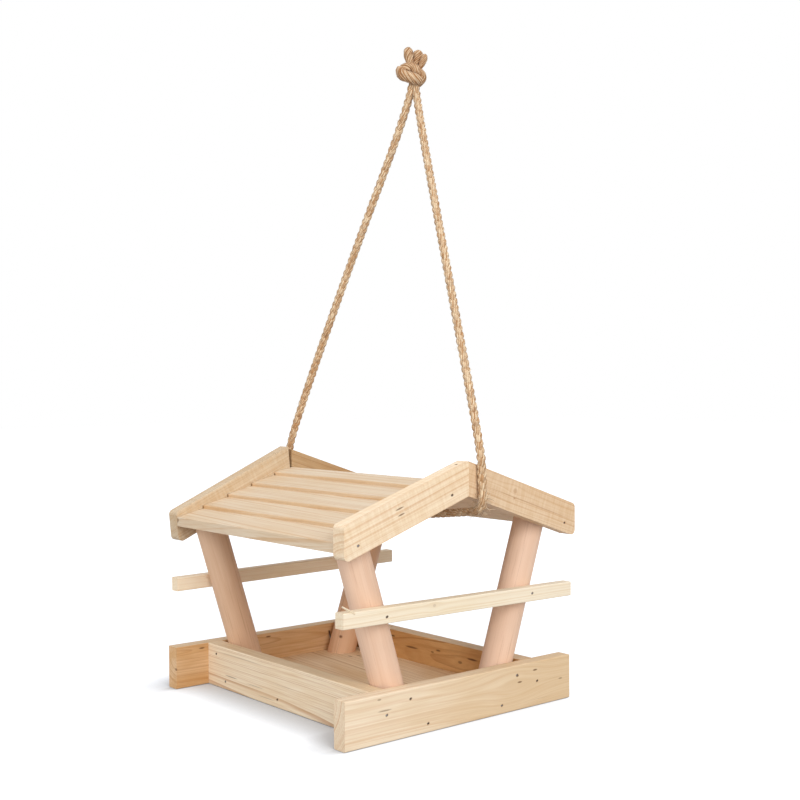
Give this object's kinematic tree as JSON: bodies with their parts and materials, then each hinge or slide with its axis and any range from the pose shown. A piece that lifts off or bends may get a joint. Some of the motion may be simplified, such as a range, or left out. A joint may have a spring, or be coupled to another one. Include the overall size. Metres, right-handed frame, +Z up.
{
  "type": "bird feeder",
  "caption": "Hanging wooden bird feeder: open seed tray, four leaning dowel posts, perch bars and a lapped-slat pitched roof, carried by a knotted rope loop.",
  "frame": {"origin": "middle of the roof's plan, on the plane that the tray stands on", "axes": "+Z up, +Y along the ridge from the front gable to the back one, +X across the gables to the right"},
  "size_m": [0.237, 0.2596, 0.5432],
  "materials": {
    "pine_boards": "sawn and lightly sanded, bare",
    "pine_slats": "sawn, bare, slightly weathered",
    "beech_dowels": "turned and sanded, bare",
    "perch_strips": "sawn and lightly sanded, bare",
    "jute_rope": "twisted natural fibre, hairy",
    "steel_brads": "dull grey wire"
  },
  "bodies": {
    "house": {"barge_board_back_left": "pine_boards", "barge_board_back_right": "pine_boards", "barge_board_front_left": "pine_boards", "barge_board_front_right": "pine_boards", "end_board_back": "pine_boards", "end_board_front": "pine_boards", "floor_brads": "steel_brads", "floor_panel": "pine_boards", "mitre_brad": "steel_brads", "perch_bar_back": "perch_strips", "perch_bar_front": "perch_strips", "perch_brads": "steel_brads", "post_back_left": "beech_dowels", "post_back_right": "beech_dowels", "post_foot_brads": "steel_brads", "post_front_left": "beech_dowels", "post_front_right": "beech_dowels", "post_head_brads": "steel_brads", "roof_slat_left_1": "pine_slats", "roof_slat_left_2": "pine_slats", "roof_slat_left_3": "pine_slats", "roof_slat_left_4": "pine_slats", "roof_slat_left_5": "pine_slats", "roof_slat_right_1": "pine_slats", "roof_slat_right_2": "pine_slats", "roof_slat_right_3": "pine_slats", "roof_slat_right_4": "pine_slats", "roof_slat_right_5": "pine_slats", "rope_under_roof": "jute_rope", "side_rail_left": "pine_boards", "side_rail_right": "pine_boards", "slat_end_brads": "steel_brads", "tray_corner_brads": "steel_brads"},
    "rope_bail": {"rope_leg_front": "jute_rope", "rope_leg_back": "jute_rope", "rope_knot": "jute_rope"}
  },
  "joints": [
    {"name": "bail_swing", "type": "hinge", "parent": "house", "child": "rope_bail", "pos_m": [0.0092, 0, 0.205], "axis": [0, 1, 0], "range_deg": [-98, 100]}
  ]
}
